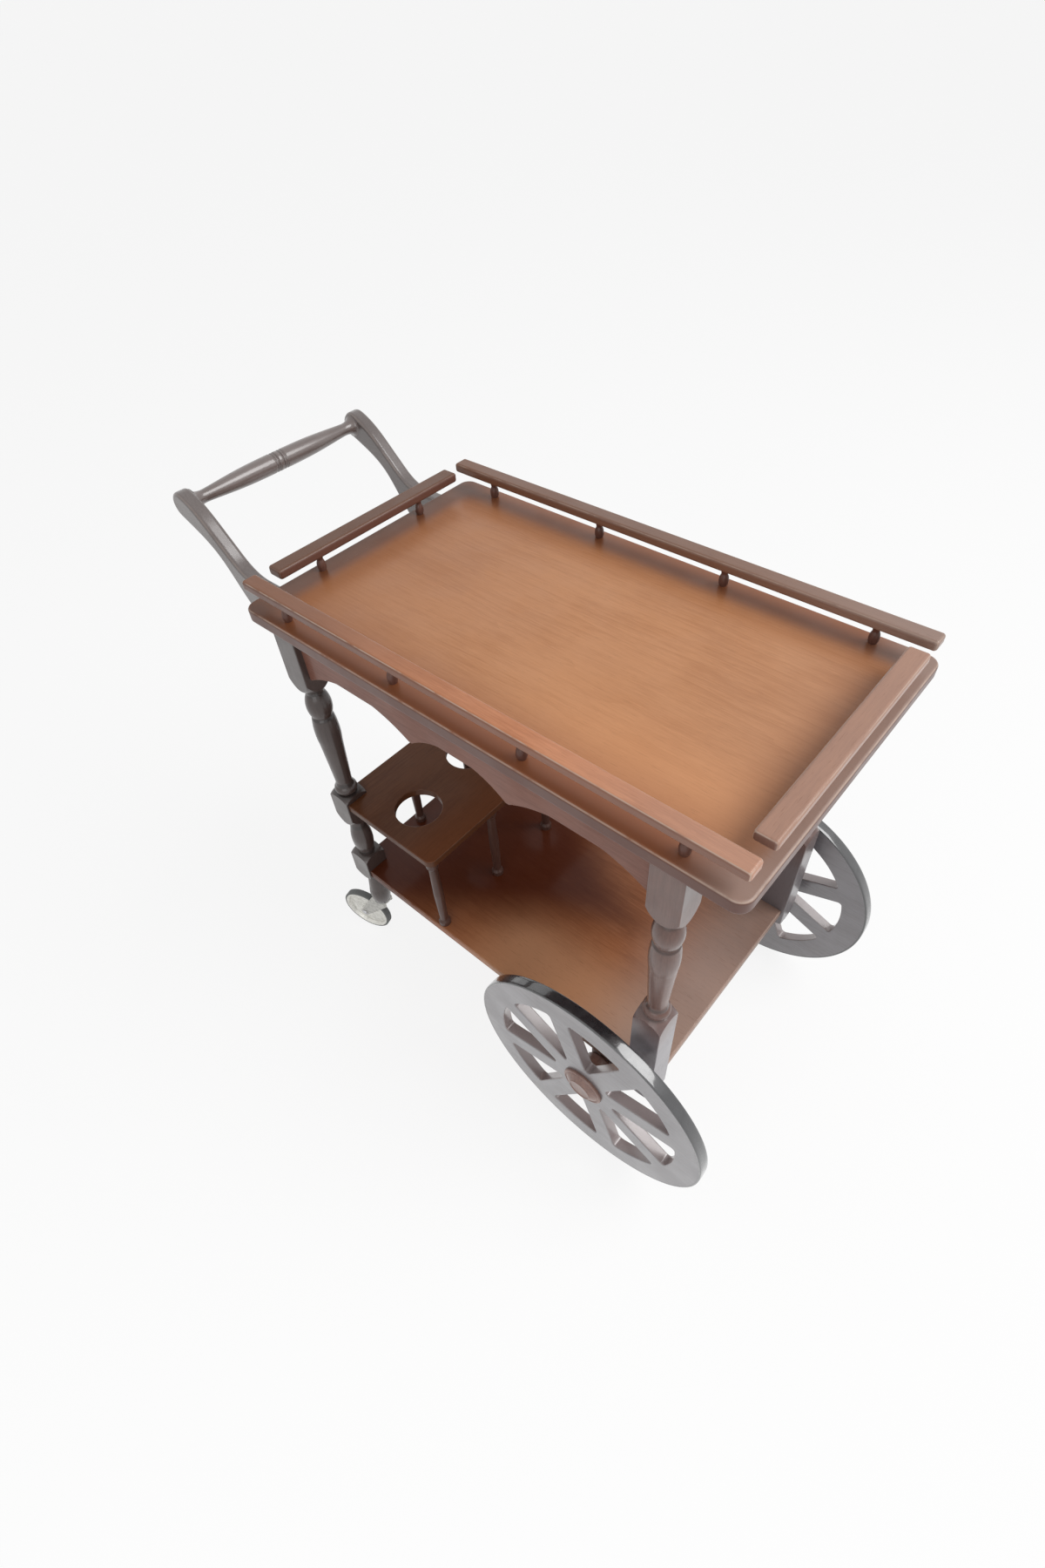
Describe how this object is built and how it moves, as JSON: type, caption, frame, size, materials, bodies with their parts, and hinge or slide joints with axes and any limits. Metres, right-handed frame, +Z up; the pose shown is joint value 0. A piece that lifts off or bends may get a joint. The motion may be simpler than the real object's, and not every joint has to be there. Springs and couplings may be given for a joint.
{
  "type": "serving cart",
  "caption": "Wooden serving cart with a railed top, turned legs, low shelf, shelf with bottle holes, push handle, large spoked wheels and swivel casters.",
  "frame": {"origin": "on the floor under the middle of the whole cart", "axes": "+Z up, +X from the push handle towards the large wheels, +Y to the left of the person who pushes"},
  "size_m": [1.08, 0.568, 0.91],
  "materials": {
    "top_veneer": "satin lacquer",
    "rail_wood": "satin lacquer",
    "frame_wood": "gloss lacquer",
    "shelf_wood": "gloss lacquer",
    "wheel_wood": "gloss lacquer",
    "hub_wood": "satin lacquer",
    "tread": "gloss",
    "steel": "satin",
    "caster_metal": "satin",
    "caster_rubber": "matte"
  },
  "bodies": {
    "chassis": {"top_board": "top_veneer", "side_rail_left": "rail_wood", "side_rail_right": "rail_wood", "end_rail_handle": "rail_wood", "end_rail_wheel": "rail_wood", "spindles_left": "frame_wood", "spindles_right": "frame_wood", "spindles_handle_end": "frame_wood", "spindles_wheel_end": "frame_wood", "leg_handle_left": "frame_wood", "leg_handle_right": "frame_wood", "leg_wheel_left": "frame_wood", "leg_wheel_right": "frame_wood", "apron_left": "frame_wood", "apron_right": "frame_wood", "apron_handle_end": "frame_wood", "apron_wheel_end": "frame_wood", "corner_blocks": "shelf_wood", "board_screws": "steel", "lower_shelf": "shelf_wood", "bottle_shelf": "shelf_wood", "bottle_shelf_posts": "frame_wood", "shelf_dowels": "hub_wood", "handle_arm_left": "frame_wood", "handle_arm_right": "frame_wood", "handle_grip": "frame_wood", "arm_screws": "steel", "axle_beam": "shelf_wood", "beam_screws": "steel", "wheel_axle": "steel", "axle_washers": "steel", "axle_nuts": "steel", "caster_sleeve_left": "steel", "caster_sleeve_right": "steel"},
    "big_wheel_left": {"wheel_disc_left": "wheel_wood", "wheel_tyre_left": "tread", "wheel_hub_left": "hub_wood", "wheel_cap_left": "hub_wood", "wheel_bush_left": "steel"},
    "swivel_left": {"caster_fork_left": "steel", "caster_pin_left": "steel"},
    "roller_left": {"caster_wheel_left": "caster_metal", "caster_tyre_left": "caster_rubber"},
    "big_wheel_right": {"wheel_disc_right": "wheel_wood", "wheel_tyre_right": "tread", "wheel_hub_right": "hub_wood", "wheel_cap_right": "hub_wood", "wheel_bush_right": "steel"},
    "swivel_right": {"caster_fork_right": "steel", "caster_pin_right": "steel"},
    "roller_right": {"caster_wheel_right": "caster_metal", "caster_tyre_right": "caster_rubber"}
  },
  "joints": [
    {"name": "left_wheel_spin", "type": "hinge", "parent": "chassis", "child": "big_wheel_left", "pos_m": [0.3255, 0.254, 0.2145], "axis": [0, 1, 0], "continuous": true},
    {"name": "left_caster_swivel", "type": "hinge", "parent": "chassis", "child": "swivel_left", "pos_m": [-0.25, 0.2045, 0.1257], "axis": [0, 0, 1], "continuous": true},
    {"name": "left_caster_roll", "type": "hinge", "parent": "swivel_left", "child": "roller_left", "pos_m": [-0.30023, 0.19104, 0.054], "axis": [-0.2588, 0.9659, 0], "continuous": true},
    {"name": "right_wheel_spin", "type": "hinge", "parent": "chassis", "child": "big_wheel_right", "pos_m": [0.3255, -0.254, 0.2145], "axis": [0, 1, 0], "continuous": true},
    {"name": "right_caster_swivel", "type": "hinge", "parent": "chassis", "child": "swivel_right", "pos_m": [-0.25, -0.2045, 0.1257], "axis": [0, 0, 1], "continuous": true},
    {"name": "right_caster_roll", "type": "hinge", "parent": "swivel_right", "child": "roller_right", "pos_m": [-0.30023, -0.21796, 0.054], "axis": [-0.2588, 0.9659, 0], "continuous": true}
  ]
}
